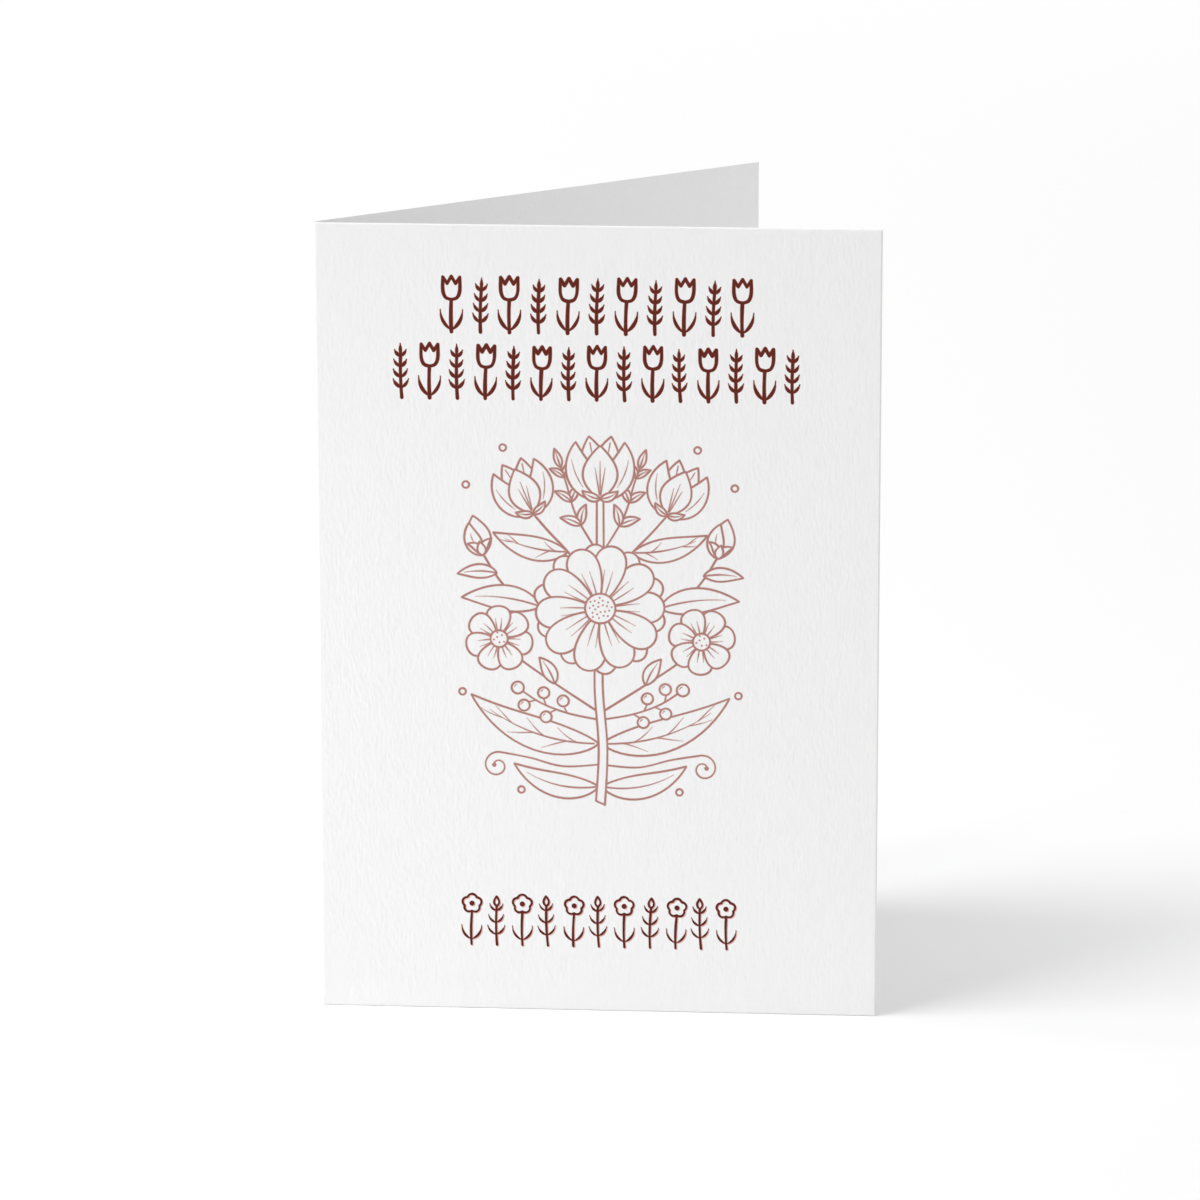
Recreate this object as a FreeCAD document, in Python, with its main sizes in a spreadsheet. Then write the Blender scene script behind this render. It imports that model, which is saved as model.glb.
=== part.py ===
import FreeCAD, Part

import math
import os

import Sketcher

# Greeting card: one sheet of thick felt-marked board, scored down the middle, folded and stood
# half open on its lower edges. Millimetres. +X runs from the fold to the free edge of the
# cover, +Y from the cover to the back panel, +Z up. The cover's outer face looks along -Y.
# The origin is the middle of the bounding box's base.

PART_NAME = "card"

# Every size that can be set by itself, with what it is.
DRIVING_SIZES = {
    "panel_width": (103.6, "fold to free edge, the same on the cover and the back"),
    "panel_height": (148.0, "lower edge to upper edge"),
    "board_thickness": (0.5, "caliper of the board"),
    "opening_angle": (41.3, "degrees between the cover and the back panel"),
    "fold_inner_radius": (0.5, "bend inside the fold, which springs open a little"),
    "bead_radius": (0.25, "bead of board that the score pushes up inside the fold"),
    "bead_rise": (0.2, "how far the bead stands on the inside of the bend"),
    "edge_radius": (0.3, "edges rolled over by the blade that entered from the printed side"),
}

# What follows from them.
WORKED_SIZES = {
    "fold_outer_radius": "=fold_inner_radius + board_thickness",
    "flat_width": "=panel_width - fold_outer_radius",
    "half_angle": "=opening_angle / 2",
    "bead_offset": "=fold_inner_radius - bead_rise + bead_radius",
    "edge_round": "=min(edge_radius; 0.7 * board_thickness)",
    "back_rise": "=flat_width * sin(opening_angle * 1deg)",
    "fold_depth": "=fold_outer_radius * (1 + cos(opening_angle * 1deg))",
    "corner_loss": "=edge_round * (cos(opening_angle * 1deg) + sin(opening_angle * 1deg) - 1)",
    "card_depth": "=fold_depth + back_rise - corner_loss",
}


def fill_sheet(document):
    """A row for each size: its name, its value and what it is."""
    sheet = document.addObject("Spreadsheet::Sheet", "Sizes")
    row = 1
    for name, (value, meaning) in DRIVING_SIZES.items():
        sheet.set(f"A{row}", name)
        sheet.set(f"B{row}", str(value))
        sheet.set(f"C{row}", meaning)
        sheet.setAlias(f"B{row}", name)
        row += 1
    for name, formula in WORKED_SIZES.items():
        sheet.set(f"A{row}", name)
        sheet.set(f"B{row}", formula)
        sheet.setAlias(f"B{row}", name)
        row += 1
    document.recompute()
    return sheet


def origin_plane(body, role):
    """One of the body's own base planes, such as XY_Plane."""
    return next(item for item in body.Origin.OriginFeatures if item.Role == role)


def point(x, y):
    return FreeCAD.Vector(x, y, 0)


def heading(angle):
    """A unit vector in the section's plane, at an angle in degrees from +X."""
    return point(math.cos(math.radians(angle)), math.sin(math.radians(angle)))


def arc(centre, radius, start, end):
    """Anticlockwise from start to end, in degrees."""
    circle = Part.Circle(centre, FreeCAD.Vector(0, 0, 1), radius)
    return Part.ArcOfCircle(circle, math.radians(start), math.radians(end))


def angle_between(first, second, opposite):
    """The angle in degrees between two sides of a triangle, from all three sides."""
    cosine = (first ** 2 + second ** 2 - opposite ** 2) / (2 * first * second)
    return math.degrees(math.acos(cosine))


def draw_section(body, sheet):
    """The card seen from above: the board's whole section, from the cover's free edge, round
    the fold, to the back panel's free edge. It starts with the fold's leftmost point at x = 0
    and the cover's outer face on the X axis."""
    thickness = sheet.board_thickness
    opening = sheet.opening_angle
    outer = sheet.fold_outer_radius
    inner = sheet.fold_inner_radius
    bead = sheet.bead_radius
    offset = sheet.bead_offset

    along_back = heading(opening)
    off_back = heading(opening + 90)
    fold_centre = point(outer, outer)
    middle = opening / 2
    bead_centre = fold_centre - heading(middle) * offset

    # Where the bead's round meets the inside of the bend, seen from the two centres.
    swing = angle_between(inner, offset, bead)
    grip = 180 - angle_between(bead, offset, inner)

    cover_start = point(outer, 0)
    cover_end = point(sheet.panel_width, 0)
    cover_end_inner = point(sheet.panel_width, thickness)
    cover_inner_end = point(outer, thickness)
    back_start = fold_centre + off_back * outer
    back_inner_start = fold_centre + off_back * inner
    back_end = back_start + along_back * sheet.flat_width
    back_end_inner = back_end - off_back * thickness

    sketch = body.newObject("Sketcher::SketchObject", "fold_section")
    sketch.AttachmentSupport = [(origin_plane(body, "XY_Plane"), "")]
    sketch.MapMode = "FlatFace"

    def line(start, end):
        return sketch.addGeometry(Part.LineSegment(start, end), False)

    def bend(centre, radius, start, end):
        return sketch.addGeometry(arc(centre, radius, start, end), False)

    cover_outer = line(cover_start, cover_end)
    cover_edge = line(cover_end, cover_end_inner)
    cover_inner = line(cover_end_inner, cover_inner_end)
    cover_bend = bend(fold_centre, inner, middle + 180 + swing, 270)
    bead_arc = bend(bead_centre, bead, middle - grip, middle + grip)
    back_bend = bend(fold_centre, inner, opening + 90, middle + 180 - swing)
    back_inner = line(back_inner_start, back_end_inner)
    back_edge = line(back_end_inner, back_end)
    back_outer = line(back_end, back_start)
    fold_arc = bend(fold_centre, outer, opening + 90, 270)
    bisector = sketch.addGeometry(Part.LineSegment(bead_centre, fold_centre), True)

    start, end, centre = 1, 2, 3
    x_axis, origin = -1, -1

    def fix(kind, *where):
        return sketch.addConstraint(Sketcher.Constraint(kind, *where))

    def size(kind, *where, value, name, formula):
        index = sketch.addConstraint(Sketcher.Constraint(kind, *where, value))
        sketch.renameConstraint(index, name)
        sketch.setExpression(f"Constraints.{name}", formula)

    # The outline closes on itself, smoothly where the fold meets the panels' faces.
    fix("Coincident", cover_outer, end, cover_edge, start)
    fix("Coincident", cover_edge, end, cover_inner, start)
    fix("Tangent", cover_inner, end, cover_bend, end)
    fix("Coincident", cover_bend, start, bead_arc, start)
    fix("Coincident", bead_arc, end, back_bend, end)
    fix("Tangent", back_bend, start, back_inner, start)
    fix("Coincident", back_inner, end, back_edge, start)
    fix("Coincident", back_edge, end, back_outer, start)
    fix("Tangent", back_outer, end, fold_arc, start)
    fix("Tangent", fold_arc, end, cover_outer, start)

    # Both panels are flat and as thick as the board, with square free edges.
    fix("Horizontal", cover_outer)
    fix("Vertical", cover_edge)
    fix("Horizontal", cover_inner)
    fix("Parallel", back_inner, back_outer)
    fix("Perpendicular", back_edge, back_outer)
    fix("PointOnObject", cover_outer, start, x_axis)
    size("DistanceY", cover_edge, start, cover_edge, end,
         value=thickness, name="cover_caliper", formula="Sizes.board_thickness")
    size("Distance", back_edge,
         value=thickness, name="back_caliper", formula="Sizes.board_thickness")
    size("DistanceX", origin, start, cover_outer, end,
         value=sheet.panel_width, name="cover_reach", formula="Sizes.panel_width")
    size("Distance", back_outer,
         value=sheet.flat_width, name="back_flat", formula="Sizes.flat_width")

    # The fold, and the bead inside it on the line that halves the opening.
    fix("Coincident", cover_bend, centre, fold_arc, centre)
    fix("Coincident", back_bend, centre, fold_arc, centre)
    size("Radius", fold_arc,
         value=outer, name="fold_round", formula="Sizes.fold_outer_radius")
    size("DistanceX", origin, start, fold_arc, centre,
         value=outer, name="fold_place", formula="Sizes.fold_outer_radius")
    size("Angle", cover_outer, start, back_outer, end,
         value=math.radians(opening), name="opening", formula="Sizes.opening_angle * 1deg")
    size("Angle", cover_outer, start, bisector, start,
         value=math.radians(opening / 2), name="half_opening", formula="Sizes.half_angle * 1deg")
    fix("Coincident", bisector, start, bead_arc, centre)
    fix("Coincident", bisector, end, fold_arc, centre)
    size("Distance", bisector,
         value=sheet.bead_offset, name="bead_place", formula="Sizes.bead_offset")
    size("Radius", bead_arc,
         value=bead, name="bead_round", formula="Sizes.bead_radius")
    return sketch


def outer_rim(shape):
    """Names of the edges round the printed outside: top, bottom and both free edges. The outer
    fold is the face that reaches furthest to -X, and the flat outer faces lean against it."""
    fold = min(shape.Faces, key=lambda face: face.BoundBox.XMin)
    skin = [fold]
    for face in shape.Faces:
        flat = isinstance(face.Surface, Part.Plane)
        level = flat and abs(face.normalAt(0, 0).z) > 0.5
        shared = any(edge.isSame(own) for edge in face.Edges for own in fold.Edges)
        if flat and not level and shared:
            skin.append(face)
    names = []
    for number, edge in enumerate(shape.Edges, start=1):
        owners = sum(any(edge.isSame(own) for own in face.Edges) for face in skin)
        if owners == 1:
            names.append(f"Edge{number}")
    return names


def make_card(document, sheet):
    """The folded sheet: its section raised to the card's height, then the rolled edges."""
    body = document.addObject("PartDesign::Body", PART_NAME)
    body.Label = PART_NAME
    sketch = draw_section(body, sheet)

    panels = body.newObject("PartDesign::Pad", "folded_panels")
    panels.Profile = sketch
    panels.setExpression("Length", "Sizes.panel_height")
    document.recompute()

    rolled = body.newObject("PartDesign::Fillet", "rolled_edges")
    rolled.Base = (panels, outer_rim(panels.Shape))
    rolled.setExpression("Radius", "Sizes.edge_round")

    # From the fold's corner to the middle of the base.
    body.setExpression("Placement.Base.x", "-Sizes.panel_width / 2")
    body.setExpression("Placement.Base.y", "-Sizes.card_depth / 2")
    document.recompute()
    return body


def check(document, bodies):
    """Stops before anything is written if an object failed or a solid isn't sound."""
    for item in document.Objects:
        if "Invalid" in item.State or "Error" in item.State:
            raise RuntimeError(f"{item.Name} failed: {item.State}")
    for sketch in document.findObjects("Sketcher::SketchObject"):
        if not sketch.FullyConstrained:
            raise RuntimeError(f"{sketch.Name} isn't fully constrained")
    for body in bodies:
        shape = body.Shape
        if shape.isNull() or not shape.isValid() or len(shape.Solids) != 1:
            raise RuntimeError(f"{body.Label} isn't one valid solid")


def export(bodies):
    os.makedirs("parts", exist_ok=True)
    for body in bodies:
        body.Shape.exportStep(f"parts/{body.Label}.step")
        box = body.Shape.BoundBox
        print(f"{body.Label}: {box.XLength:.3f} x {box.YLength:.3f} x {box.ZLength:.3f} mm,"
              f" volume {body.Shape.Volume:.1f} mm3, centre ({box.Center.x:.4f}, {box.Center.y:.4f})")


document = FreeCAD.newDocument("greeting_card")
sizes = fill_sheet(document)
card = make_card(document, sizes)
check(document, [card])
export([card])
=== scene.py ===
import math
import random

import bpy
import numpy as np
from bpy.props import FloatProperty, FloatVectorProperty, PointerProperty
from mathutils import Matrix, Vector
from mathutils.geometry import delaunay_2d_cdt


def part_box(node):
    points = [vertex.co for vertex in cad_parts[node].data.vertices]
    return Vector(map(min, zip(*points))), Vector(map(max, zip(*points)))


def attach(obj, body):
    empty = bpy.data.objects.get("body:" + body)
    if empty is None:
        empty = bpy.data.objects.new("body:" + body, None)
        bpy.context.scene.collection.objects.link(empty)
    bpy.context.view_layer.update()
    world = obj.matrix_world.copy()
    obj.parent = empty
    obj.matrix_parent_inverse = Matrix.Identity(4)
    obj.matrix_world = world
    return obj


# Greeting card: the finish of its folded board, the print on its cover, and a white studio.
# The frame is in metres, with +X from the fold to the cover's free edge, +Y from the cover to
# the back panel and +Z up. The print is drawn in millimetres.

bl_info = {
    "name": "Greeting Card",
    "version": (1, 0, 0),
    "blender": (4, 5, 0),
    "location": "View3D > Sidebar > Card",
    "description": "Finishes a folded card of felt-marked board and prints its cover",
    "category": "Object",
}

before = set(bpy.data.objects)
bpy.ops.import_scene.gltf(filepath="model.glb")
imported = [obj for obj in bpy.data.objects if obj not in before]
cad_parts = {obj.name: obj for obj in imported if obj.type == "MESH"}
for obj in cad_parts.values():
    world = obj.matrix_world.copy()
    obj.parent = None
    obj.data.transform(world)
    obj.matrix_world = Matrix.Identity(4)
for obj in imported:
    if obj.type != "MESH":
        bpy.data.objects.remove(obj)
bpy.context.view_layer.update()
CARD_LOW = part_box("card")[0]

MM = 0.001


# Settings

class BoardSettings(bpy.types.PropertyGroup):
    """The board that the card is cut from."""

    paper: FloatVectorProperty(
        name="Paper", description="Colour of both faces of the board",
        default=(0.88, 0.88, 0.88), min=0, max=1, subtype="COLOR")
    fibre: FloatVectorProperty(
        name="Cut fibre", description="Colour of the upper and lower cut edges",
        default=(0.90, 0.90, 0.895), min=0, max=1, subtype="COLOR")
    # Painted shade: the upright cut edges and their rounded rims are coloured darker because they
    # are turned away from the softbox and lie in shade. Fingers did not rub them.
    shaded_fibre: FloatVectorProperty(
        name="Shaded fibre", description="Colour of the upright cut edges, rubbed by fingers",
        default=(0.72, 0.72, 0.715), min=0, max=1, subtype="COLOR")
    roughness: FloatProperty(
        name="Roughness", description="Roughness of the uncoated faces",
        default=0.78, min=0, max=1, subtype="FACTOR")
    shine: FloatProperty(
        name="Shine", description="Specular level of the uncoated faces",
        default=0.3, min=0, max=1, subtype="FACTOR")
    opening: FloatProperty(
        name="Opening", description="Angle between the cover and the back panel",
        default=math.radians(41.3), subtype="ANGLE")
    fold_radius: FloatProperty(
        name="Fold radius", description="Of the outside of the fold",
        default=1.0 * MM, precision=6, unit="LENGTH")
    score_width: FloatProperty(
        name="Score width", description="Half the width of the groove at each side of the fold",
        default=0.13 * MM, precision=6, unit="LENGTH")
    score_depth: FloatProperty(
        name="Score depth", description="Depth of the groove at each side of the fold",
        default=0.005 * MM, precision=6, unit="LENGTH")
    felt_width: FloatProperty(
        name="Felt streak width", description="Width of the upright streaks on the outside",
        default=0.5 * MM, precision=6, unit="LENGTH")
    felt_length: FloatProperty(
        name="Felt streak length", description="Length of the upright streaks on the outside",
        default=1.35 * MM, precision=6, unit="LENGTH")
    felt_depth: FloatProperty(
        name="Felt depth", description="Depth of the felt mark on the outside",
        default=0.024 * MM, precision=6, unit="LENGTH")
    smooth_grain: FloatProperty(
        name="Inside grain", description="Width of the grain on the smoother inside",
        default=0.5 * MM, precision=6, unit="LENGTH")
    smooth_depth: FloatProperty(
        name="Inside depth", description="Depth of the grain on the inside",
        default=0.014 * MM, precision=6, unit="LENGTH")


class PrintSettings(bpy.types.PropertyGroup):
    """The inks and pens of the print on the cover."""

    maroon: FloatVectorProperty(
        name="Maroon", description="Ink of the borders",
        default=(0.115, 0.0165, 0.0095), min=0, max=1, subtype="COLOR")
    rose: FloatVectorProperty(
        name="Rose", description="Ink of the flowers",
        default=(0.42, 0.2, 0.174), min=0, max=1, subtype="COLOR")
    thin_maroon: FloatVectorProperty(
        name="Thin maroon", description="Maroon ink that has run into the board at its edges",
        default=(0.31, 0.09, 0.057), min=0, max=1, subtype="COLOR")
    thin_rose: FloatVectorProperty(
        name="Thin rose", description="Rose ink that has run into the board at its edges",
        default=(0.62, 0.44, 0.41), min=0, max=1, subtype="COLOR")
    blush: FloatVectorProperty(
        name="Blush", description="Pale second printing beside the lower border",
        default=(0.72, 0.45, 0.42), min=0, max=1, subtype="COLOR")
    roughness: FloatProperty(
        name="Roughness", description="Roughness of dry ink on the board",
        default=0.7, min=0, max=1, subtype="FACTOR")
    shine: FloatProperty(
        name="Shine", description="Specular level of dry ink", default=0.15, min=0, max=1,
        subtype="FACTOR")
    ink_height: FloatProperty(
        name="Ink height", description="How far the ink stands on the board",
        default=0.02 * MM, precision=6, unit="LENGTH")
    ink_sink: FloatProperty(
        name="Ink sink", description="How far the ink soaks into the board",
        default=0.01 * MM, precision=6, unit="LENGTH")
    flower_pen: FloatProperty(
        name="Flower pen", description="Width of the flowers' outlines",
        default=0.35 * MM, precision=6, unit="LENGTH")
    vein_pen: FloatProperty(
        name="Vein pen", description="Width of the fine lines inside leaves and petals",
        default=0.19 * MM, precision=6, unit="LENGTH")
    border_pen: FloatProperty(
        name="Border pen", description="Width of the upper borders' lines",
        default=0.63 * MM, precision=6, unit="LENGTH")
    slim_pen: FloatProperty(
        name="Slim pen", description="Width of the lower border's lines",
        default=0.46 * MM, precision=6, unit="LENGTH")
    feather: FloatProperty(
        name="Feather", description="Width of the thinned ink along the edges of a line",
        default=0.085 * MM, precision=6, unit="LENGTH")
    slip: FloatProperty(
        name="Slip", description="How far the blush printing lies right of and below the maroon",
        default=0.16 * MM, precision=6, unit="LENGTH")


class StudioSettings(bpy.types.PropertyGroup):
    """The white studio and the camera."""

    floor_tone: FloatProperty(
        name="Floor tone", description="How white the floor is", default=0.94, min=0, max=1,
        subtype="FACTOR")
    floor_side: FloatProperty(
        name="Floor side", description="Side of the square floor", default=8, unit="LENGTH")
    fade_start: FloatProperty(
        name="Fade start", description="How far behind the card the floor starts to be lifted",
        default=0.08, unit="LENGTH")
    fade_front: FloatProperty(
        name="Fade front", description="How far before the card it also starts to be lifted",
        default=0.15, unit="LENGTH")
    fade_lift: FloatProperty(
        name="Fade lift", description="White added to the floor for each metre further away",
        default=0.2, min=0)
    fade_step: FloatProperty(
        name="Fade step", description="White added to the floor at once, where the lift starts",
        default=0.04, min=0)
    fade_width: FloatProperty(
        name="Fade width", description="Over how much floor that step is spread",
        default=0.06, unit="LENGTH")
    key_power: FloatProperty(
        name="Key power", description="Power of the softbox", default=11.96, unit="POWER")
    key_width: FloatProperty(
        name="Key width", description="Width of the softbox", default=1.0, unit="LENGTH")
    key_height: FloatProperty(
        name="Key height", description="Height of the softbox", default=0.5, unit="LENGTH")
    key_distance: FloatProperty(
        name="Key distance", description="From the card to the softbox", default=1.5,
        unit="LENGTH")
    key_turn: FloatProperty(
        name="Key turn", description="How far the softbox stands forward of straight left",
        default=math.radians(24), subtype="ANGLE")
    key_rise: FloatProperty(
        name="Key rise", description="How high the softbox stands", default=math.radians(56),
        subtype="ANGLE")
    key_target: FloatVectorProperty(
        name="Key target", description="What the softbox faces",
        default=(0, 0, 0.05), subtype="TRANSLATION")
    bounce_power: FloatProperty(
        name="Bounce power", description="Power of the low reflector by the fold",
        default=0.0975, unit="POWER")
    bounce_side: FloatProperty(
        name="Bounce side", description="Side of the square reflector", default=0.16,
        unit="LENGTH")
    bounce_place: FloatVectorProperty(
        name="Bounce place", description="Where the reflector stands",
        default=(-0.35, -0.12, 0.05), subtype="TRANSLATION")
    bounce_target: FloatVectorProperty(
        name="Bounce target", description="What the reflector faces",
        default=(-0.05, -0.034, 0.03), subtype="TRANSLATION")
    bounce_spread: FloatProperty(
        name="Bounce spread", description="How wide the reflector throws its light",
        default=math.radians(70), subtype="ANGLE")
    walls: FloatVectorProperty(
        name="Walls", description="Light from the right, front and back walls",
        default=(0.884, 0.371, 0.473), min=0)
    ceiling: FloatProperty(
        name="Ceiling", description="Light from the ceiling", default=0.418, min=0)
    camera_place: FloatVectorProperty(
        name="Camera place", description="Where the camera stands",
        default=(0.088777, -1.227675, 0.369025), subtype="TRANSLATION")
    camera_turn: FloatProperty(
        name="Camera turn", description="How far the camera turns left of straight ahead",
        default=math.radians(4.224), subtype="ANGLE")
    camera_drop: FloatProperty(
        name="Camera drop", description="How far the camera looks down",
        default=math.radians(13.65), subtype="ANGLE")
    camera_roll: FloatProperty(
        name="Camera roll", description="How far the camera leans clockwise",
        default=math.radians(0.05), subtype="ANGLE")
    focal_length: FloatProperty(
        name="Focal length", description="Of the lens, in millimetres on a 36 mm sensor",
        default=201.721, min=1, unit="CAMERA")


# Materials

# Sizes of the grains of slow changes over the board and the ink, along X, Y and Z.
SWELL_GRAIN = (0.9 * MM, 0.9 * MM, 1.6 * MM)
CLOUD_GRAIN = (2.2 * MM, 2.2 * MM, 3.0 * MM)
MOTTLE_GRAIN = (0.30 * MM, 0.30 * MM, 0.45 * MM)

# How deep the swell is beside the felt mark's streaks, and how far the board's and the ink's
# colours and roughness stray from their settings.
SWELL_SHARE = 0.8
BOARD_TINT = 0.006
INK_TINT = 0.06
CLOUD_ROUGHNESS = 0.04
MOTTLE_ROUGHNESS = 0.06
CUT_ROUGHNESS = 0.12


class Wire:
    """A socket of a node tree. Arithmetic on it adds Math nodes, and node() adds any other."""

    def __init__(self, tree, socket=None):
        self.tree = tree
        self.socket = socket

    def node(self, kind, settings=None, inputs=None, output=0):
        """A node with its settings made and its inputs set or linked. Gives one of its outputs."""
        made = self.tree.nodes.new(kind)
        for name, value in (settings or {}).items():
            setattr(made, name, value)
        for name, value in (inputs or {}).items():
            if isinstance(value, Wire):
                self.tree.links.new(value.socket, made.inputs[name])
            else:
                made.inputs[name].default_value = value
        return Wire(self.tree, made.outputs[output]) if len(made.outputs) else None

    def maths(self, operation, *values):
        return self.node("ShaderNodeMath", {"operation": operation}, dict(enumerate(values)))

    def __add__(self, other):
        return self.maths("ADD", self, other)

    def __radd__(self, other):
        return self.maths("ADD", other, self)

    def __sub__(self, other):
        return self.maths("SUBTRACT", self, other)

    def __rsub__(self, other):
        return self.maths("SUBTRACT", other, self)

    def __mul__(self, other):
        return self.maths("MULTIPLY", self, other)

    def __rmul__(self, other):
        return self.maths("MULTIPLY", other, self)

    def most(self, other):
        return self.maths("MAXIMUM", self, other)

    def steps_up(self, low, high):
        """0 below low and 1 above high, with a smooth step between them."""
        return self.node("ShaderNodeMapRange", {"interpolation_type": "SMOOTHSTEP"},
                         {"Value": self, "From Min": low, "From Max": high})

    def along(self, direction):
        """How far this vector runs along a direction."""
        return self.node("ShaderNodeVectorMath", {"operation": "DOT_PRODUCT"},
                         {0: self, 1: direction}, "Value")

    def noise(self, spacing, detail=0.0):
        """Smooth noise about 0 over this place. spacing is the size of its grains each way."""
        scaled = self.node("ShaderNodeVectorMath", {"operation": "DIVIDE"}, {0: self, 1: spacing})
        return self.node("ShaderNodeTexNoise", {"normalize": False},
                         {"Vector": scaled, "Scale": 1.0, "Detail": detail})

    def normal(self, height):
        """The normal of a surface with this height in metres."""
        return self.node("ShaderNodeBump", None,
                         {"Strength": 1.0, "Distance": 1.0, "Height": height})

    def mix(self, first, second):
        """The first colour where this number is 0, the second where it is 1."""
        return self.node("ShaderNodeMix", {"data_type": "RGBA"},
                         {0: self, 6: first, 7: second}, 2)


def new_material(name):
    """An empty node material, and a wire to build it with."""
    material = bpy.data.materials.new(name)
    material.use_nodes = True
    material.node_tree.nodes.clear()
    return material, Wire(material.node_tree)


def finish_material(wire, colour, roughness, normal, shine):
    """Ends a material in one dull shader."""
    shader = wire.node("ShaderNodeBsdfPrincipled", None, {
        "Base Color": colour, "Roughness": roughness, "Normal": normal,
        "Specular IOR Level": shine})
    wire.node("ShaderNodeOutputMaterial", None, {"Surface": shader})


def opaque(colour, gain=1.0):
    """A colour made lighter or darker by gain, with its alpha."""
    return tuple(part * gain for part in colour) + (1.0,)


def felt_relief(place, board):
    """Height of the felt mark in metres: fine upright streaks on a slow swell."""
    streaks = place.noise((board.felt_width, board.felt_width, board.felt_length), 0.5)
    swell = place.noise(SWELL_GRAIN)
    return streaks * board.felt_depth + swell * (SWELL_SHARE * board.felt_depth)


def score_relief(place, board):
    """Depth of the faint grooves that scoring leaves where both panels meet the fold, from how
    far a place lies from the fold's axis."""
    radius = board.fold_radius
    across = place.along((1, 0, 0)) - (CARD_LOW.x + radius)
    behind = place.along((0, 1, 0)) - (CARD_LOW.y + radius)
    beyond = (across * across + behind * behind - radius ** 2) * (1 / board.score_width ** 2)
    return (beyond.steps_up(1, 4) - beyond.steps_up(0, 1)) * board.score_depth


def smooth_relief(place, board):
    """Height of the inside's grain in metres, the same each way."""
    grain = board.smooth_grain
    return place.noise((grain, grain, grain), 1.0) * board.smooth_depth


def board_material(board):
    """Uncoated white board: felt-marked outside, smoother inside, fibrous where it was cut, with
    painted shade on the upright cut edges.
    """
    material, wire = new_material("felt_board")
    place = wire.node("ShaderNodeTexCoord", output="Object")
    facing = wire.node("ShaderNodeNewGeometry", output="True Normal")

    # Both inner faces look into the opening, both outer faces and the fold look out of it, and
    # the cut edges look up, down or along the panels.
    half = board.opening / 2
    inwards = facing.along((math.cos(half), math.sin(half), 0))
    outside = (0 - inwards).steps_up(0.20, 0.30)
    inside = inwards.steps_up(0.22, 0.30) - inwards.steps_up(0.42, 0.52)
    faces = outside + inside

    outer_relief = felt_relief(place, board) + score_relief(place, board)
    relief = outer_relief * outside + smooth_relief(place, board) * (1 - outside)
    cloud = place.noise(CLOUD_GRAIN, 2.0)
    shade = (0.5 + cloud * 0.5).steps_up(0, 1)
    sheet = shade.mix(opaque(board.paper, 1 - BOARD_TINT), opaque(board.paper, 1 + BOARD_TINT))
    level = facing.along((0, 0, 1))
    # The upright cut edges take the painted shade colour. The upper and lower ones keep the cut
    # fibre's own colour.
    cut = (level * level).steps_up(0.1, 0.4).mix(opaque(board.shaded_fibre), opaque(board.fibre))
    colour = faces.mix(cut, sheet)
    roughness = (1 - faces) * CUT_ROUGHNESS + cloud * CLOUD_ROUGHNESS + board.roughness
    normal = wire.normal(relief)
    finish_material(wire, colour, roughness, normal, board.shine)
    return material


def ink_material(name, tone, prints, board):
    """Dry ink that follows the felt mark, a little thinner in some places than in others."""
    material, wire = new_material(name)
    place = wire.node("ShaderNodeTexCoord", output="Object")
    mottle = place.noise(MOTTLE_GRAIN, 2.0)
    cover = (0.5 + mottle * 0.7).steps_up(0, 1)
    colour = cover.mix(opaque(tone, 1 - INK_TINT), opaque(tone, 1 + INK_TINT))
    roughness = mottle * MOTTLE_ROUGHNESS + prints.roughness
    normal = wire.normal(felt_relief(place, board))
    finish_material(wire, colour, roughness, normal, prints.shine)
    return material


def seen_directly(wire):
    """1 for a ray from the camera, also one by way of a mirror or glass. 0 for one that lights."""
    seen = wire.node("ShaderNodeLightPath", output="Is Camera Ray")
    for ray in ("Is Glossy Ray", "Is Transmission Ray"):
        seen = seen.most(wire.node("ShaderNodeLightPath", output=ray))
    return seen


def floor_material(studio):
    """Matt white. The camera sees it whiter well before and behind the card, where the softbox
    fades."""
    material, wire = new_material("studio_floor")
    place = wire.node("ShaderNodeTexCoord", output="Object")
    depth = place.along((0, 1, 0))
    away = (depth - studio.fade_start).most((0 - depth) - studio.fade_front)
    spread = studio.fade_width / 2
    lift = (away.most(0) * studio.fade_lift
            + away.steps_up(-spread, spread) * studio.fade_step) * seen_directly(wire)
    tone = studio.floor_tone
    shader = wire.node("ShaderNodeBsdfPrincipled", None, {
        "Base Color": (tone, tone, tone, 1.0), "Roughness": 1.0, "Specular IOR Level": 0.0,
        "Emission Color": lift, "Emission Strength": 1.0})
    wire.node("ShaderNodeOutputMaterial", None, {"Surface": shader})
    return material


# Lines for drawing, as lists of points in millimetres

def between(a, b, share):
    return a + (b - a) * share


def heading(angle):
    """A unit step at an angle in degrees, anticlockwise from straight right."""
    return math.cos(math.radians(angle)), math.sin(math.radians(angle))


def moved(point, angle, distance):
    step = heading(angle)
    return point[0] + step[0] * distance, point[1] + step[1] * distance


def bowed(base, angle, length, bend=0.0, steps=22):
    """A line from base, whose middle is pushed to its left by bend times its length. Its points
    lie closer together at its ends."""
    points = []
    for i in range(steps + 1):
        share = (1 - math.cos(math.pi * i / steps)) / 2
        middle = moved(base, angle, length * share)
        points.append(moved(middle, angle + 90, bend * length * 4 * share * (1 - share)))
    return points


def curve(*marks, steps=10):
    """A smooth line through a few marks."""
    marks = [marks[0], *marks, marks[-1]]
    points = []
    for p0, p1, p2, p3 in zip(marks, marks[1:], marks[2:], marks[3:]):
        for i in range(steps):
            t = i / steps
            points.append(tuple(
                0.5 * (2 * b + (c - a) * t + (2 * a - 5 * b + 4 * c - d) * t ** 2
                       + (3 * b - a - 3 * c + d) * t ** 3)
                for a, b, c, d in zip(p0, p1, p2, p3)))
    return points + [marks[-1]]


def circle(centre, radius, steps=28):
    return [moved(centre, 360 * i / steps, radius) for i in range(steps)]


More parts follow.
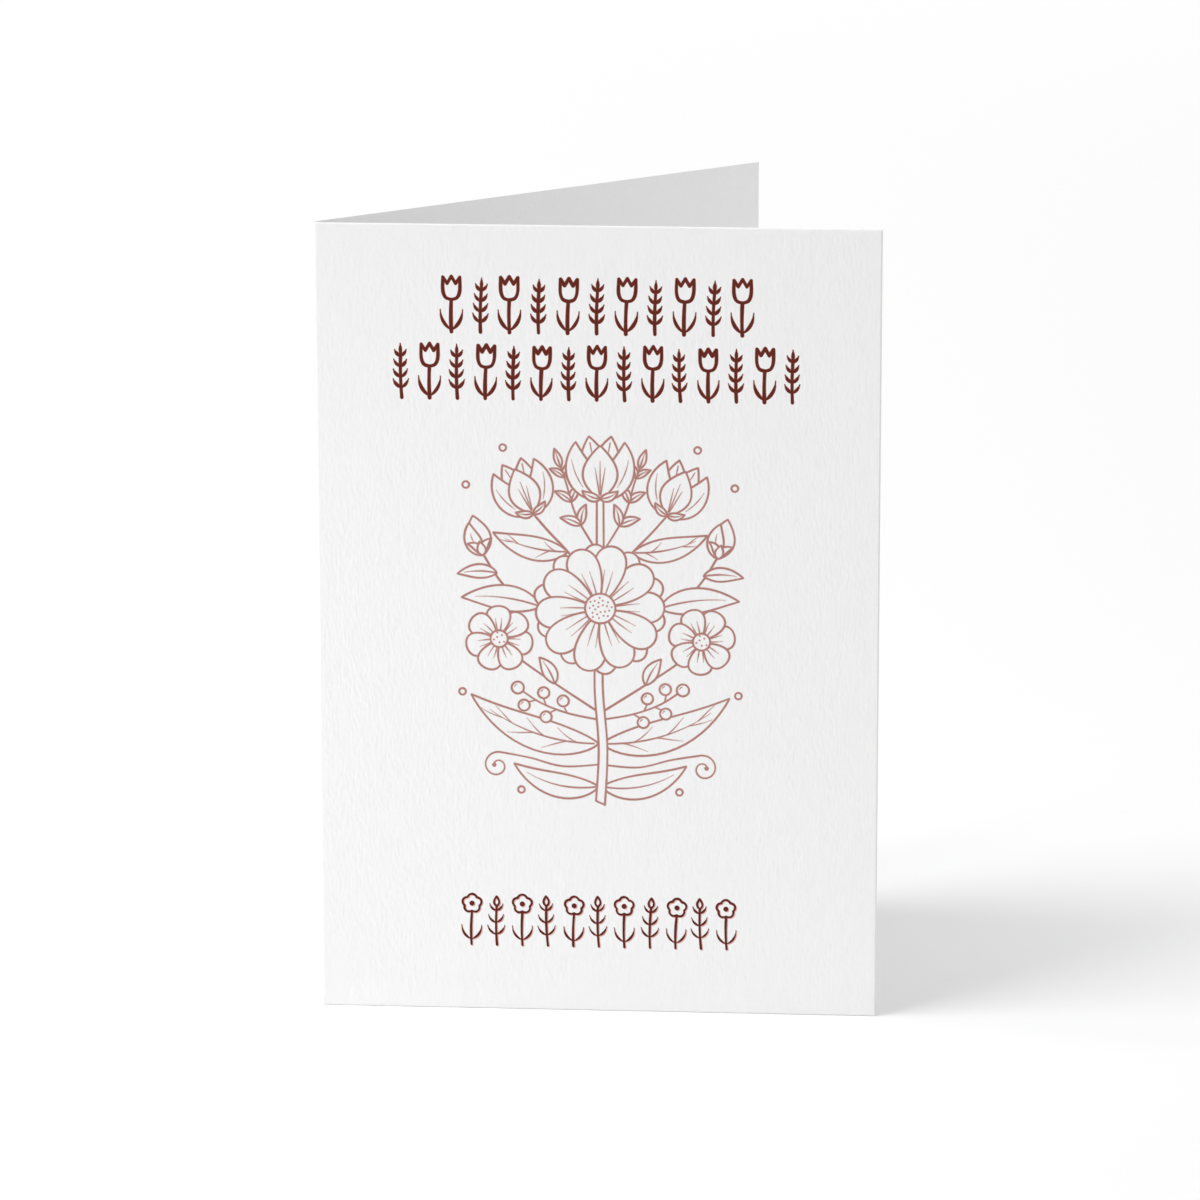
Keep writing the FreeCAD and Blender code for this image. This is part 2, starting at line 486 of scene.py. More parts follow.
def distances(line):
    """How far along the line each of its points is, from 0 to 1."""
    run = [0.0]
    for a, b in zip(line, line[1:]):
        run.append(run[-1] + math.dist(a, b))
    return [reached / run[-1] for reached in run]


def at(line, share):
    """The point at a share of the line's length."""
    runs = distances(line)
    for a, b, start, end in zip(line, line[1:], runs, runs[1:]):
        if share <= end:
            part = (share - start) / (end - start)
            return between(a[0], b[0], part), between(a[1], b[1], part)
    return line[-1]


def aim(line, share):
    """The line's heading in degrees at a share of its length."""
    a, b = at(line, max(0, share - 0.02)), at(line, min(1, share + 0.02))
    return math.degrees(math.atan2(b[1] - a[1], b[0] - a[0]))


def beside(line, share, offset):
    """A point to the left of the line at a share of its length."""
    return moved(at(line, share), aim(line, share) + 90, offset)


def around(line, half_width):
    """A closed outline round a line: up its right side and down its left."""
    right, left = [], []
    last = len(line) - 1
    for i, (point, share) in enumerate(zip(line, distances(line))):
        a, b = line[max(0, i - 1)], line[min(last, i + 1)]
        left_of = math.degrees(math.atan2(b[1] - a[1], b[0] - a[0])) + 90
        right.append(moved(point, left_of, -half_width(share)))
        left.append(moved(point, left_of, half_width(share)))
    return right + left[-2:0:-1]


def leaf_form(width, fullest=0.42):
    """Half the width of a leaf, pointed at both ends, at a share of its length."""
    power = math.log(0.5) / math.log(fullest)
    return lambda share: 0.5 * width * abs(math.sin(math.pi * share ** power)) ** 0.9


def petal_form(width, blunt=3.0):
    """Half the width of a petal, narrow at its foot and round at its tip."""
    def shape(share):
        return share ** 0.6 * math.sqrt(max(0.0, 1 - share ** blunt))
    fullest = max(shape(i / 100) for i in range(101))
    return lambda share: 0.5 * width * shape(share) / fullest


# The printing plate

# In millimetres: the pitch of a plate's grid and of a finer one, how far a thinned edge may
# stray, and in square millimetres the smallest area that is kept.
GRID_PITCH = 0.07
FINE_PITCH = 0.05
EDGE_SLACK = 0.004
SMALLEST_SPECK = 0.004

# How much a line's width sways, and how near to a crossing of the grid an edge may pass, as a
# share of its pitch.
HAND_SWAY = 0.09
NEAREST_CROSSING = 0.12

# The thinned ink's height beside the solid ink's, and the shares of the feather's width that lie
# outside and inside the pen's edge.
THIN_INK = 0.5
FEATHER_OUTSIDE = 0.6
FEATHER_INSIDE = 0.4


class Plate:
    """A drawing in ink, in millimetres. At each crossing of a fine grid it keeps the distance to
    the ink's edge, below zero inside the ink."""

    def __init__(self, width, height, pitch, pen, vein, seed):
        self.pitch = pitch
        self.pen = pen
        self.vein = vein
        self.bare = 4 * pitch
        self.xs = np.arange(-width / 2, width / 2, pitch)
        self.ys = np.arange(-height / 2, height / 2, pitch)
        self.gap = np.full((len(self.ys), len(self.xs)), self.bare)
        self.chance = random.Random(seed)

    def window(self, points, margin):
        """The part of the grid round some points, with its crossings' places."""
        low = [min(axis) - margin for axis in zip(*points)]
        high = [max(axis) + margin for axis in zip(*points)]
        columns = slice(*np.searchsorted(self.xs, (low[0], high[0])))
        rows = slice(*np.searchsorted(self.ys, (low[1], high[1])))
        return self.gap[rows, columns], self.xs[columns][None, :], self.ys[rows][:, None]

    def mark(self, a, b, start, end):
        """Ink between two round pen marks, whose radii are start and end."""
        gap, x, y = self.window((a, b), max(start, end) + 2 * self.pitch)
        dx, dy = b[0] - a[0], b[1] - a[1]
        square = max(dx * dx + dy * dy, 1e-12)
        share = np.clip(((x - a[0]) * dx + (y - a[1]) * dy) / square, 0, 1)
        reach = np.hypot(x - a[0] - share * dx, y - a[1] - share * dy)
        np.minimum(gap, reach - between(start, end, share), out=gap)

    def trace(self, points, widths):
        """One stroke, whose width sways a little as the hand's pressure does."""
        phase = self.chance.uniform(0, 2 * math.pi)
        pace = self.chance.uniform(0.15, 0.35)
        radii = [0.5 * width * (1 + HAND_SWAY * math.sin(phase + pace * i))
                 for i, width in enumerate(widths)]
        for a, b, start, end in zip(points, points[1:], radii, radii[1:]):
            self.mark(a, b, start, end)

    def line(self, points, width, start=1.0, end=1.0):
        """A stroke of which start and end say how much width is left at its ends."""
        widths = []
        for i in range(len(points)):
            share = i / (len(points) - 1)
            lifted_in = min(1, between(start, 1, share / 0.35))
            lifted_out = min(1, between(end, 1, (1 - share) / 0.6))
            widths.append(width * lifted_in * lifted_out)
        self.trace(points, widths)

    def dot(self, centre, radius):
        self.mark(centre, centre, radius, radius)

    def shape(self, outline, width=None):
        """A closed outline that covers what was drawn under it."""
        gap, x, y = self.window(outline, 0)
        inside = np.zeros(gap.shape, bool)
        for (x0, y0), (x1, y1) in zip(outline, outline[1:] + outline[:1]):
            if y0 != y1:
                inside ^= ((y0 > y) != (y1 > y)) & (x < (x1 - x0) * (y - y0) / (y1 - y0) + x0)
        gap[inside] = self.bare
        closed = outline + outline[:1]
        self.trace(closed, [width or self.pen] * len(closed))

    def edges(self, spread=0.0):
        """The ink's edges, as closed loops of points with the ink on their left. spread is how
        far the ink runs past the pen's lines."""
        gap = self.gap - spread
        inked = gap < 0
        corners = inked[:-1, :-1] + 2 * inked[:-1, 1:] + 4 * inked[1:, 1:] + 8 * inked[1:, :-1]
        row_step = 2 * len(self.xs)
        side = {"bottom": 0, "left": 1, "right": 3, "top": row_step}
        onward = {}
        for code, crossings in CELL_CROSSINGS.items():
            row, column = np.nonzero(corners == code)
            cell = row * row_step + 2 * column
            for way_in, way_out in crossings:
                pairs = zip((cell + side[way_in]).tolist(), (cell + side[way_out]).tolist())
                onward.update(pairs)
        loops = []
        while onward:
            first, following = onward.popitem()
            loop = [first]
            while following != first:
                loop.append(following)
                following = onward.pop(following)
            loops.append(self.crossings(gap, np.array(loop + [first])))
        return loops

    def crossings(self, gap, sides):
        """Where the ink's edge crosses these sides of the grid's cells."""
        corner, upward = sides // 2, sides % 2
        row, column = np.divmod(corner, len(self.xs))
        here = gap[row, column]
        there = gap[row + upward, column + 1 - upward]
        share = np.clip(here / (here - there), NEAREST_CROSSING, 1 - NEAREST_CROSSING)
        x = self.xs[column] + self.pitch * share * (1 - upward)
        y = self.ys[row] + self.pitch * share * upward
        return np.stack((x, y), axis=1)


# How the ink's edge crosses a cell of the grid, by its inked corners: 1 is the lower left one,
# 2 the lower right, 4 the upper right and 8 the upper left. The ink is on the left of each way.
CELL_CROSSINGS = {
    1: [("bottom", "left")],
    2: [("right", "bottom")],
    3: [("right", "left")],
    4: [("top", "right")],
    5: [("bottom", "left"), ("top", "right")],
    6: [("top", "bottom")],
    7: [("top", "left")],
    8: [("left", "top")],
    9: [("bottom", "top")],
    10: [("right", "bottom"), ("left", "top")],
    11: [("right", "top")],
    12: [("left", "right")],
    13: [("bottom", "right")],
    14: [("left", "bottom")],
}


def thinned(points, slack):
    """The fewest of these points whose line stays within slack of the others."""
    kept = np.zeros(len(points), bool)
    kept[[0, -1]] = True
    spans = [(0, len(points) - 1)]
    while spans:
        first, last = spans.pop()
        if last - first < 2:
            continue
        offsets = points[first + 1:last] - points[first]
        chord = points[last] - points[first]
        length = math.hypot(*chord)
        if length > 1e-9:
            away = np.abs(offsets[:, 0] * chord[1] - offsets[:, 1] * chord[0]) / length
        else:
            away = np.hypot(offsets[:, 0], offsets[:, 1])
        furthest = int(away.argmax())
        if away[furthest] > slack:
            middle = first + 1 + furthest
            kept[middle] = True
            spans += [(first, middle), (middle, last)]
    return points[kept]


def enclosed(points):
    """The area inside a closed loop, below zero for a loop that runs clockwise."""
    x, y = points[:-1].T
    next_x, next_y = points[1:].T
    return 0.5 * float(np.sum(x * next_y - next_x * y))


def inked_triangles(corners, sides):
    """Triangles that fill the ink. sides are the pairs of corners along its edge, with the ink
    on their left."""
    triangles = delaunay_2d_cdt(corners, sides, [], 0, 1e-7)[2]
    owner = {}
    for number, (a, b, c) in enumerate(triangles):
        owner.update({(a, b): number, (b, c): number, (c, a): number})
    edge = set(sides)
    inked = {owner[side] for side in sides}
    waiting = list(inked)
    while waiting:
        a, b, c = triangles[waiting.pop()]
        for side in ((a, b), (b, c), (c, a)):
            neighbour = owner.get(side[::-1])
            if side not in edge and neighbour is not None and neighbour not in inked:
                inked.add(neighbour)
                waiting.append(neighbour)
    return [triangles[number] for number in sorted(inked)]


def press(plate, name, place, material, prints, thickness=1.0, spread=0.0):
    """Prints a plate on the cover: a thin closed layer of ink whose middle is at place, in
    millimetres from the middle of the cover's lower edge. thickness is a share of the ink's
    height and sink, and spread is how far it runs past the pen's lines."""
    corners, sides = [], []
    for loop in plate.edges(spread):
        if abs(enclosed(loop)) < SMALLEST_SPECK:
            continue
        points = thinned(loop, EDGE_SLACK)[:-1].tolist()
        first = len(corners)
        corners += [Vector(point) for point in points]
        numbers = list(range(first, len(corners)))
        sides += list(zip(numbers, numbers[1:] + numbers[:1]))
    triangles = inked_triangles(corners, sides)

    def layer(y):
        return [((place[0] + c.x) * MM, y, (place[1] + c.y) * MM) for c in corners]

    count = len(corners)
    top = layer(CARD_LOW.y - prints.ink_height * thickness)
    foot = layer(CARD_LOW.y + prints.ink_sink * thickness)
    faces = [tuple(triangle) for triangle in triangles]
    faces += [(c + count, b + count, a + count) for a, b, c in triangles]
    faces += [(a + count, b + count, b, a) for a, b in sides]
    mesh = bpy.data.meshes.new(name)
    mesh.from_pydata(top + foot, [], faces)
    mesh.materials.append(material)
    piece = bpy.data.objects.new(name, mesh)
    bpy.context.scene.collection.objects.link(piece)
    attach(piece, "root")


def press_feathered(plate, name, place, tone, thin_tone, slot, prints, board):
    """Prints solid ink that stops just short of the pen's edge, over a lower layer of thinned
    ink that has run a little past it."""
    feather = prints.feather / MM
    thin = ink_material(slot + "_feather", thin_tone, prints, board)
    press(plate, name + "_feather", place, thin, prints, THIN_INK, feather * FEATHER_OUTSIDE)
    solid = ink_material(slot, tone, prints, board)
    press(plate, name, place, solid, prints, 1.0, -feather * FEATHER_INSIDE)


# Flowers and leaves

def leaf(plate, base, angle, length, width, bend=0.06, veins=3):
    """A pointed leaf with a midrib and side veins that sweep towards its tip."""
    middle = bowed(base, angle, length, bend)
    half_width = leaf_form(width)
    plate.shape(around(middle, half_width))
    plate.line([at(middle, 0.03 + 0.80 * i / 20) for i in range(21)], plate.vein * 1.5, end=0.25)
    for i in range(veins):
        for side in (-1, 1):
            root = 0.18 + 0.5 * i / max(1, veins - 1) + 0.04 * side
            vein = []
            for j in range(8):
                share = min(0.97, root + 0.17 * j / 7)
                vein.append(beside(middle, share, side * half_width(share) * 0.74 * (j / 7) ** 1.25))
            plate.line(vein, plate.vein, end=0.3)


def petal(plate, base, angle, length, width, creases):
    """A round-tipped petal with a few creases fanning from its foot."""
    middle = bowed(base, angle, length)
    half_width = petal_form(width)
    plate.shape(around(middle, half_width))
    for i in range(creases):
        spread = (i - (creases - 1) / 2) / creases
        reach = 0.62 - 0.22 * abs(spread)
        crease = []
        for j in range(13):
            share = between(0.12, reach, j / 12)
            crease.append(beside(middle, share, half_width(share) * spread * 1.05))
        plate.line(crease, plate.vein * 1.1, end=0.25)


def daisy(plate, centre, radius, petals, disk, turn, rows=2):
    """An open flower: one or two rows of petals round a seeded disk."""
    pitch = 2 * math.pi * radius / petals
    for row in reversed(range(rows)):
        for i in range(petals):
            angle = turn + 360 * (i + 0.5 * row) / petals + plate.chance.uniform(-2, 2)
            length = (radius - disk * 0.5) * (0.93 + 0.04 * row) * plate.chance.uniform(0.97, 1.03)
            width = pitch * (0.74 - 0.12 * row)
            petal(plate, moved(centre, angle, disk * 0.5), angle, length, width, 0 if row else 2)
    plate.shape(circle(centre, disk))
    seeds = int(3 * disk * disk)
    for i in range(1, seeds):
        plate.dot(moved(centre, 137.5 * i, disk * 0.80 * math.sqrt(i / seeds)), 0.16)


def tulip(plate, foot, angle, size):
    """A half-open bloom: two petals behind, two at its sides and one in front."""
    for side in (-1, 1):
        middle = bowed(foot, angle + 10 * side, size)
        plate.shape(around(middle, leaf_form(size * 0.40, 0.55)))
        plate.line([at(middle, 0.90 - 0.03 * i) for i in range(9)], plate.vein, end=0.3)
    for side in (-1, 1):
        middle = bowed(foot, angle + 23 * side, size * 0.97, 0.13 * side)
        plate.shape(around(middle, leaf_form(size * 0.44, 0.44)))
        for share in (0.30, 0.42):
            fold = [beside(middle, share + 0.04 * i, side * size * 0.07) for i in range(9)]
            plate.line(fold, plate.vein, start=0.4, end=0.3)
    middle = bowed(foot, angle, size * 0.84)
    plate.shape(around(middle, leaf_form(size * 0.54, 0.46)))
    for lean in (-9, 0, 9):
        crease = bowed(foot, angle + lean, size * (0.50 if lean else 0.60))
        plate.line(crease[5:], plate.vein * 1.1, end=0.25)
    for side in (-1, 1):
        leaf(plate, foot, angle + side * 66, size * 0.30, size * 0.13, 0.10 * side, veins=0)


def bud(plate, base, angle, size):
    """A closed bud: one petal wrapped over another, held by three sepals."""
    plate.shape(around(bowed(base, angle, size), leaf_form(size * 0.60, 0.44)))
    front = bowed(base, angle + 9, size * 0.86, 0.10)
    plate.shape(around(front, leaf_form(size * 0.40, 0.44)))
    for share in (0.34, 0.46):
        crease = [at(front, share + 0.035 * i) for i in range(8)]
        plate.line(crease, plate.vein, start=0.4, end=0.3)
    for side in (-1, 1):
        sepal = bowed(base, angle + side * 40, size * 0.46, -0.16 * side)
        plate.shape(around(sepal, leaf_form(size * 0.18)))
    plate.shape(around(bowed(base, angle, size * 0.34), leaf_form(size * 0.20)))


def berry(plate, centre, radius):
    plate.shape(circle(centre, radius, 20))
    glint = [moved(centre, 100 + 12 * i, 0.55 * radius) for i in range(7)]
    plate.line(glint, plate.vein, start=0.5, end=0.4)


def berries(plate, twig, radius, pairs):
    """A twig with pairs of berries on short stalks, and one at its tip."""
    plate.line(twig, plate.pen * 0.95)
    for i in range(pairs):
        for side in (-1, 1):
            share = 0.42 + 0.52 * (i + 0.25 * side) / pairs
            root, along = at(twig, share), aim(twig, share)
            tip = moved(moved(root, along + 90 * side, 1.9 * radius), along, 1.3 * radius)
            elbow = tuple(between(a, b, 0.55) for a, b in zip(root, tip))
            plate.line(curve(root, moved(elbow, along, 0.25 * radius), tip), plate.pen * 0.75)
            berry(plate, tip, radius)
    berry(plate, twig[-1], radius * 1.08)


def spray(plate, twig, length, width, pairs):
    """A twig with pairs of small leaves, and one at its tip."""
    plate.line(twig, plate.pen * 0.95)
    for i in range(pairs):
        share = 0.30 + 0.58 * i / (pairs - 1)
        size = 1 - 0.35 * i / pairs
        for side in (-1, 1):
            angle = aim(twig, share) + 42 * side
            leaf(plate, at(twig, share), angle, length * size, width * size, -0.07 * side, veins=0)
    leaf(plate, twig[-1], aim(twig, 1), length * 0.9, width * 0.85, 0, veins=0)


def tendril(plate, way, radius, side):
    """A line that ends by winding in on itself, to its left or right."""
    inward = aim(way, 1) + 90 * side
    centre = moved(way[-1], inward, radius)
    line = list(way)
    for i in range(1, 40):
        share = i / 39
        line.append(moved(centre, inward + 180 + side * 450 * share, radius * (1 - 0.78 * share)))
    plate.line(line, plate.pen * 0.9, end=0.8)
    plate.dot(line[-1], 0.40)


def stem(plate, way, foot_width, top_width):
    plate.shape(around(way, lambda share: 0.5 * between(foot_width, top_width, share)))


def posy(plate):
    """A symmetrical spray: one large daisy on a straight stem, with tulips above it, buds and
    small daisies at its sides, and leaves, berries and tendrils below."""
    for s in (-1, 1):
        plate.line(curve((0.3 * s, -17), (7 * s, -12.6), (13 * s, -8.5), (17.5 * s, -5)),
                   plate.pen * 1.1)
        plate.line(curve((0.3 * s, -8), (9 * s, 1), (17 * s, 6), (21.5 * s, 12.5)),
                   plate.pen * 1.1)
        plate.line(curve((0.2 * s, 4), (5 * s, 12), (9.5 * s, 17), (12.5 * s, 20.5)),
                   plate.pen * 1.1)
    for s in (-1, 1):
        leaf(plate, (0.4 * s, -31.2), 90 - 75 * s, 16.0, 4.6, -0.11 * s, 0)
        tendril(plate, curve((0.4 * s, -27.0), (7 * s, -27.4), (13 * s, -25.9),
                             (18.6 * s, -24.9)), 2.6, -s)
        leaf(plate, (0.4 * s, -23.0), 90 - 69 * s, 25.0, 6.2, -0.10 * s, 3)
        berries(plate, curve((0.5 * s, -18.4), (6 * s, -17.3), (11 * s, -15.4),
                             (15.2 * s, -12.6)), 1.05, 2)
        leaf(plate, (8.4 * s, -11.7), 90 - 30 * s, 5.6, 2.6, 0.06 * s, 0)
        leaf(plate, (11 * s, 2.8), 90 - 84 * s, 14.5, 4.8, 0.06 * s, 0)
        leaf(plate, (19 * s, 9.0), 90 - 92 * s, 7.2, 2.6, 0.06 * s, 0)
        leaf(plate, (6 * s, 13.2), 90 - 76 * s, 14.0, 4.4, -0.07 * s, 2)
        spray(plate, curve((1 * s, 14), (4.4 * s, 20), (6.2 * s, 26), (7.2 * s, 29)), 4.0, 1.6, 3)
    stem(plate, curve((0, -34.6), (0.5, -24), (-0.3, -12), (0, 0), (0, 24.5)), 1.7, 1.2)
    for s in (-1, 1):
        bud(plate, (21.5 * s, 12.3), 90 - 14 * s, 7.6)
        tulip(plate, (12.3 * s, 20.3), 90 - 22 * s, 10.5)
        daisy(plate, (18.6 * s, -3.4), 6.6, 7, 1.6, 10 * s, 1)
    tulip(plate, (0, 23.2), 90, 11.8)
    daisy(plate, (0, 2.6), 12.6, 10, 2.8, 4)
    for s in (-1, 1):
        for x, y in ((25.4, -13.5), (24.6, 25.5), (17.8, 32.5), (14.6, -32.0)):
            plate.shape(circle((x * s, y), 0.62, 16))


# Borders

def blade(plate, base, angle, length, width, bend):
    """A solid leaf, made by one press of a soft pen."""
    middle = bowed(base, angle, length, bend, 12)
    widths = [max(0.16, width * math.sin(math.pi * share ** 0.8)) for share in distances(middle)]
    plate.trace(middle, widths)


def bold_tulip(plate, foot, angle, tall):
    """A stem with two blades and a slender cup with three points."""
    plate.line(bowed(foot, angle, tall * 0.60, 0.015), plate.pen)
    for side in (-1, 1):
        base = moved(foot, angle, tall * 0.03)
        blade(plate, base, angle - 28 * side, tall * 0.42, plate.pen, -0.13 * side)
    neck = moved(foot, angle, tall * 0.58)
    wide, deep = tall * 0.30, tall * 0.41
    flank = curve((0, 0), (wide * 0.34, deep * 0.09), (wide * 0.50, deep * 0.40),
                  (wide * 0.50, deep * 0.98), steps=7)
    notch = [(wide * 0.25, deep * 0.70), (0, deep * 1.02)]
    right = flank + notch
    whole = right + [(-x, y) for x, y in right[-2:0:-1]]
    cup = [moved(moved(neck, angle - 90, x), angle, y) for x, y in whole]
    plate.shape(cup, plate.pen * 0.92)


def bold_frond(plate, foot, angle, tall):
    """A stem with four pairs of blades, and one at its tip."""
    rib = bowed(foot, angle, tall * 0.80, 0.015)
    plate.line(rib, plate.pen * 0.9)
    for i in range(4):
        base = at(rib, 0.22 + 0.72 * i / 3)
        length = tall * 0.215 * (1 - 0.08 * i)
        for side in (-1, 1):
            blade(plate, base, angle - 40 * side, length, plate.pen * 0.95, -0.10 * side)
    blade(plate, at(rib, 0.97), angle, tall * 0.21, plate.pen, 0)


def slim_flower(plate, foot, angle, tall):
    """A stem with two curled leaves and a round flower with a scalloped rim."""
    plate.line(bowed(foot, angle, tall * 0.63, 0.02), plate.pen)
    for side in (-1, 1):
        base = moved(foot, angle, tall * 0.10)
        blade(plate, base, angle - 34 * side, tall * 0.34, plate.pen, -0.16 * side)
    centre = moved(foot, angle, tall * 0.81)
    rim = []
    for i in range(60):
        turn = 6 * i
        swing = 0.80 + 0.20 * abs(math.cos(math.radians(2.5 * turn)))
        rim.append(moved(centre, angle + turn, tall * 0.185 * swing))
    plate.shape(rim, plate.pen * 0.92)
    plate.dot(centre, tall * 0.05)


def slim_frond(plate, foot, angle, tall):
    """A stem with three pairs of curled leaves, and a bud at its tip."""
    rib = bowed(foot, angle, tall * 0.80, 0.02)
    plate.line(rib, plate.pen)
    for i in range(3):
        for side in (-1, 1):
            base = at(rib, 0.26 + 0.30 * i)
            length = tall * (0.25 - 0.03 * i)
            blade(plate, base, angle - 42 * side, length, plate.pen * 0.95, -0.14 * side)
    tip = bowed(at(rib, 0.98), angle, tall * 0.19)
    plate.shape(around(tip, leaf_form(tall * 0.10)), plate.pen * 0.9)


def row(plate, motifs, count, width, tall, base):
    """Motifs in turn along a base line, none quite upright or quite as tall as the next."""
    for i in range(count):
        x = width * (i / (count - 1) - 0.5)
        angle = 90 + plate.chance.uniform(-2, 2)
        motifs[i % len(motifs)](plate, (x, base), angle, tall * plate.chance.uniform(0.97, 1.02))


# Operators

# The middles of the plates, in millimetres from the middle of the cover's lower edge.
FLOWERS_PLACE = (0.7, 74.3)
UPPER_BORDERS_PLACE = (0.1, 127.1)
LOWER_BORDER_PLACE = (0.4, 17.2)


class CARD_OT_set_stage(bpy.types.Operator):
    """Lay the white floor, light it and stand the camera in front of the card"""

    bl_idname = "card.set_stage"
    bl_label = "Set the stage"

    def execute(self, context):
        studio = context.scene.card_studio
        self.floor(studio)
        self.lamps(studio)
        self.room(context.scene, studio)
        self.camera(context.scene, studio)
        context.scene.view_settings.view_transform = "Standard"
        return {"FINISHED"}

    def floor(self, studio):
        half = studio.floor_side / 2
        corners = [(-half, -half, 0), (half, -half, 0), (half, half, 0), (-half, half, 0)]
        mesh = bpy.data.meshes.new("floor")
        mesh.from_pydata(corners, [], [(0, 1, 2, 3)])
        mesh.materials.append(floor_material(studio))
        floor = bpy.data.objects.new("floor", mesh)
        bpy.context.scene.collection.objects.link(floor)

    def lamps(self, studio):
        turn, rise = studio.key_turn, studio.key_rise
        target = Vector(studio.key_target)
        away = Vector((-math.cos(turn) * math.cos(rise), -math.sin(turn) * math.cos(rise),
                       math.sin(rise)))
        self.lamp("softbox", target + away * studio.key_distance, target,
                  (studio.key_width, studio.key_height), studio.key_power)
        self.lamp("reflector", Vector(studio.bounce_place), Vector(studio.bounce_target),
                  (studio.bounce_side, studio.bounce_side), studio.bounce_power,
                  studio.bounce_spread)

    def lamp(self, name, place, target, size, power, spread=math.pi):
        light = bpy.data.lights.new(name, "AREA")
        light.shape = "RECTANGLE"
        light.size, light.size_y = size
        light.energy = power
        light.spread = spread
        lamp = bpy.data.objects.new(name, light)
        lamp.location = place
        lamp.rotation_euler = (place - target).to_track_quat("Z", "Y").to_euler()
        bpy.context.scene.collection.objects.link(lamp)

    def room(self, scene, studio):
        """Soft light from three walls and the ceiling, behind a plain white surround."""
        world = bpy.data.worlds.new("studio_room")
        world.use_nodes = True
        world.node_tree.nodes.clear()
        wire = Wire(world.node_tree)
        direction = wire.node("ShaderNodeTexCoord", output="Generated")
        right, front, back = studio.walls
        light = (direction.along((0, 0, 1)).most(0) * studio.ceiling
                 + direction.along((1, 0, 0)).most(0) * right
                 + direction.along((0, -1, 0)).most(0) * front
                 + direction.along((0, 1, 0)).most(0) * back)
        seen = seen_directly(wire)
        strength = seen + (1 - seen) * light
        shader = wire.node("ShaderNodeBackground", None, {
            "Color": (1.0, 1.0, 1.0, 1.0), "Strength": strength})
        wire.node("ShaderNodeOutputWorld", None, {"Surface": shader})
        scene.world = world

    def camera(self, scene, studio):
        lens = bpy.data.cameras.new("camera")
        lens.sensor_width = 36
        lens.lens = studio.focal_length
        camera = bpy.data.objects.new("camera", lens)
        camera.matrix_world = (Matrix.Translation(studio.camera_place)
                               @ Matrix.Rotation(studio.camera_turn, 4, "Z")
                               @ Matrix.Rotation(math.pi / 2 - studio.camera_drop, 4, "X")
                               @ Matrix.Rotation(-studio.camera_roll, 4, "Z"))
        scene.collection.objects.link(camera)
        scene.camera = camera


class CARD_OT_finish_board(bpy.types.Operator):
    """Give the folded board its felt-marked outside, smooth inside and cut edges"""

    bl_idname = "card.finish_board"
    bl_label = "Finish the board"

    def execute(self, context):
        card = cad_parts["card"]
        if not card.material_slots:
            raise RuntimeError("the card has no material slot")
        finish = board_material(context.scene.card_board)
        for slot in card.material_slots:
            slot.material = finish
        return {"FINISHED"}


class CARD_OT_print_flowers(bpy.types.Operator):
    """Print the flowers in rose in the middle of the cover"""

    bl_idname = "card.print_flowers"
    bl_label = "Print the flowers"

    def execute(self, context):
        prints, board = context.scene.card_print, context.scene.card_board
        plate = Plate(width=55, height=72, pitch=GRID_PITCH, pen=prints.flower_pen / MM,
                      vein=prints.vein_pen / MM, seed=7)
        posy(plate)
        press_feathered(plate, "flower_print", FLOWERS_PLACE, prints.rose, prints.thin_rose,
                        "rose_ink", prints, board)
        return {"FINISHED"}


class CARD_OT_print_upper_borders(bpy.types.Operator):
    """Print two rows of bold tulips and fronds in maroon across the top of the cover"""

    bl_idname = "card.print_upper_borders"
    bl_label = "Print the upper borders"

    def execute(self, context):
        prints, board = context.scene.card_print, context.scene.card_board
        plate = Plate(width=76, height=26, pitch=GRID_PITCH, pen=prints.border_pen / MM,
                      vein=prints.vein_pen / MM, seed=11)
        row(plate, (bold_tulip, bold_frond), count=11, width=52.9, tall=10.3, base=1.1)
        row(plate, (bold_frond, bold_tulip), count=15, width=71.2, tall=10.0, base=-11.2)
        press_feathered(plate, "upper_border_print", UPPER_BORDERS_PLACE, prints.maroon,
                        prints.thin_maroon, "maroon_ink", prints, board)
        return {"FINISHED"}


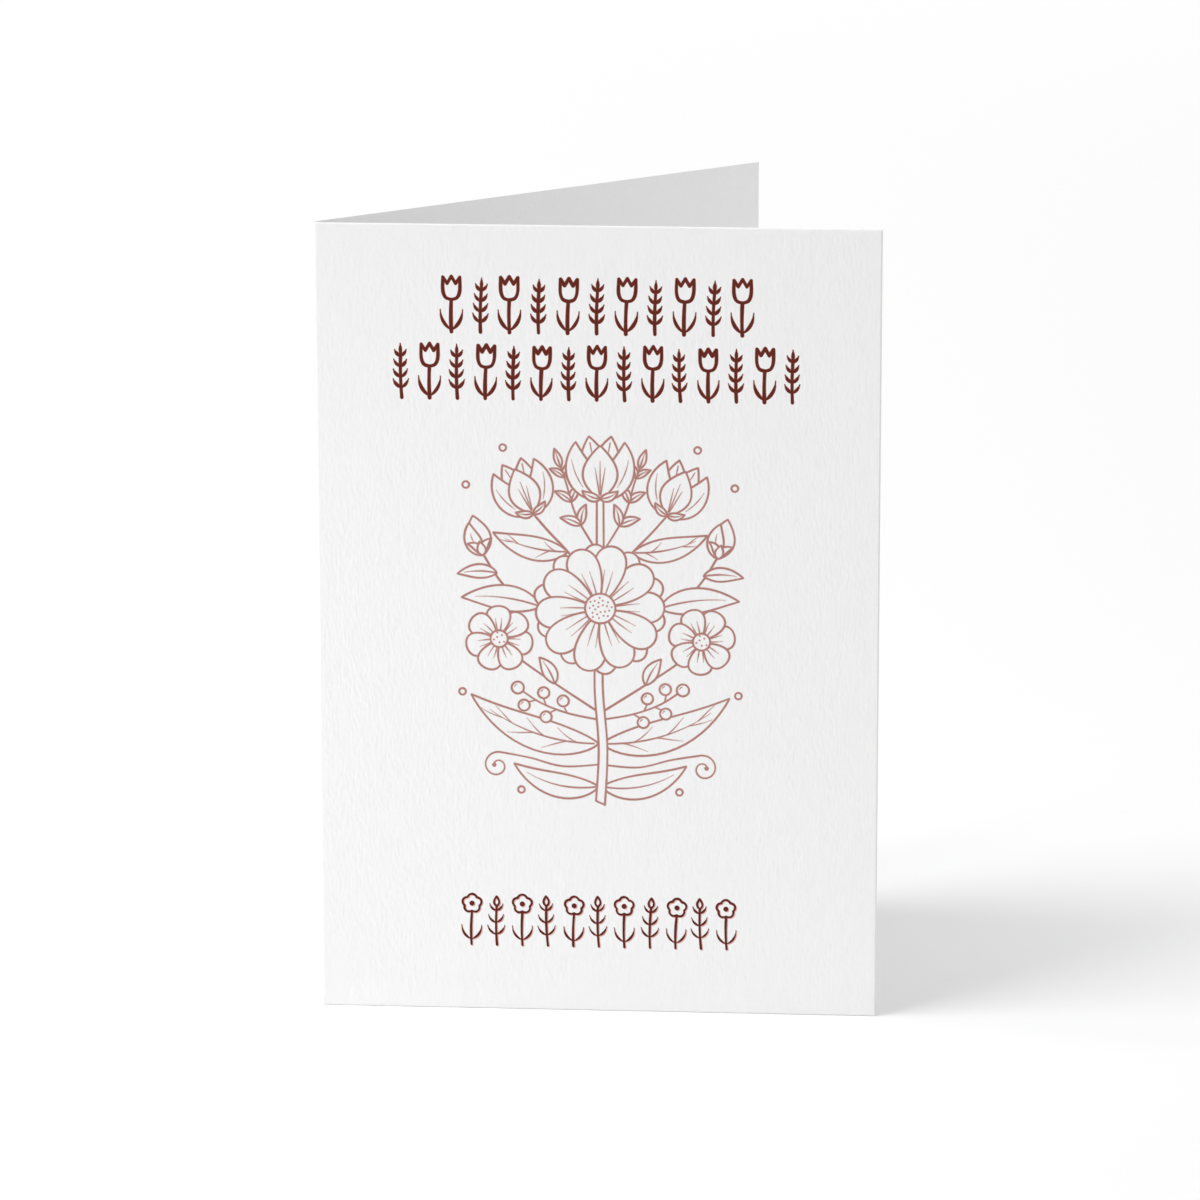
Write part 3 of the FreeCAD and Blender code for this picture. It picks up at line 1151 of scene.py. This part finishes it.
class CARD_OT_print_lower_border(bpy.types.Operator):
    """Print a row of slim flowers in maroon near the foot of the cover, over a pale blush one"""

    bl_idname = "card.print_lower_border"
    bl_label = "Print the lower border"

    def execute(self, context):
        prints, board = context.scene.card_print, context.scene.card_board
        plate = Plate(width=53, height=12, pitch=FINE_PITCH, pen=prints.slim_pen / MM,
                      vein=prints.vein_pen / MM, seed=13)
        row(plate, (slim_flower, slim_frond), count=11, width=47.4, tall=9.7, base=-4.8)
        x, z = LOWER_BORDER_PLACE
        slip = prints.slip / MM
        blush = ink_material("blush_ink", prints.blush, prints, board)
        press(plate, "lower_border_blush", (x + slip, z - slip), blush, prints, THIN_INK)
        maroon = ink_material("slim_maroon_ink", prints.maroon, prints, board)
        press(plate, "lower_border_print", (x, z), maroon, prints)
        return {"FINISHED"}


class CARD_PT_sidebar(bpy.types.Panel):
    """The card's steps, in the order in which they are made"""

    bl_idname = "CARD_PT_sidebar"
    bl_label = "Greeting card"
    bl_space_type = "VIEW_3D"
    bl_region_type = "UI"
    bl_category = "Card"

    def draw(self, context):
        for step in STEPS:
            self.layout.operator(step.bl_idname)


STEPS = (
    CARD_OT_set_stage,
    CARD_OT_finish_board,
    CARD_OT_print_flowers,
    CARD_OT_print_upper_borders,
    CARD_OT_print_lower_border,
)
CLASSES = (BoardSettings, PrintSettings, StudioSettings, *STEPS, CARD_PT_sidebar)


def register():
    for one in CLASSES:
        bpy.utils.register_class(one)
    bpy.types.Scene.card_board = PointerProperty(type=BoardSettings)
    bpy.types.Scene.card_print = PointerProperty(type=PrintSettings)
    bpy.types.Scene.card_studio = PointerProperty(type=StudioSettings)


def unregister():
    del bpy.types.Scene.card_board
    del bpy.types.Scene.card_print
    del bpy.types.Scene.card_studio
    for one in reversed(CLASSES):
        bpy.utils.unregister_class(one)


def main():
    register()
    bpy.ops.card.set_stage()
    bpy.ops.card.finish_board()
    bpy.ops.card.print_flowers()
    bpy.ops.card.print_upper_borders()
    bpy.ops.card.print_lower_border()


if __name__ == "__main__":
    main()
